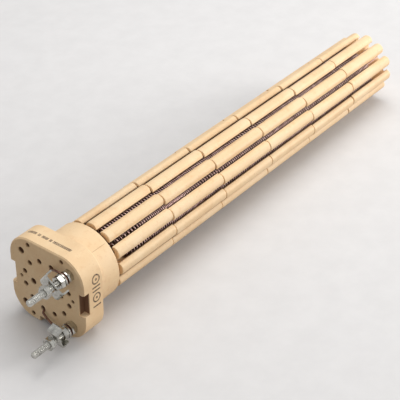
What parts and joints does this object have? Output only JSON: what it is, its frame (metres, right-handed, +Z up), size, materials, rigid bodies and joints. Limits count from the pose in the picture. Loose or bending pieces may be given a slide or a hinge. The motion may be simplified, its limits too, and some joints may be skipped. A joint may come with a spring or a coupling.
{
  "type": "steatite heater",
  "caption": "Ribbed steatite heating element with a square head, screw terminals and a wire coil in its channels.",
  "frame": {"origin": "on the element's axis, in the plane of the shoulder behind the head's plate", "axes": "+X along the axis from the head to the tail, +Z up as the element lies, terminals on the -Y side"},
  "size_m": [0.3689, 0.0554, 0.0554],
  "materials": {
    "steatite_head": "matt unglazed, cream",
    "steatite": "matt unglazed, cream",
    "coil_wire": "oxidised resistance wire",
    "lead_wire": "oxidised, brown",
    "plated_steel": "bright zinc plate"
  },
  "bodies": {
    "root": {"head_block": "steatite_head", "collar_block": "steatite", "segment_1": "steatite", "segment_2": "steatite", "segment_3": "steatite", "segment_4": "steatite", "segment_5": "steatite", "end_segment": "steatite", "heating_coil": "coil_wire", "lead_wire_1": "lead_wire", "lead_wire_2": "lead_wire", "terminal_1_screw": "plated_steel", "terminal_1_base_nut": "plated_steel", "terminal_1_inner_washer": "plated_steel", "terminal_1_outer_washer": "plated_steel", "terminal_1_clamp_nut": "plated_steel", "terminal_1_saddle": "plated_steel", "terminal_1_outer_nut": "plated_steel", "terminal_2_screw": "plated_steel", "terminal_2_base_nut": "plated_steel", "terminal_2_inner_washer": "plated_steel", "terminal_2_outer_washer": "plated_steel", "terminal_2_clamp_nut": "plated_steel", "terminal_2_saddle": "plated_steel", "terminal_2_outer_nut": "plated_steel", "tie_rod": "plated_steel", "head_tie_washer": "plated_steel", "head_tie_nut": "plated_steel", "tail_washer": "plated_steel", "tail_nut": "plated_steel"}
  },
  "joints": []
}
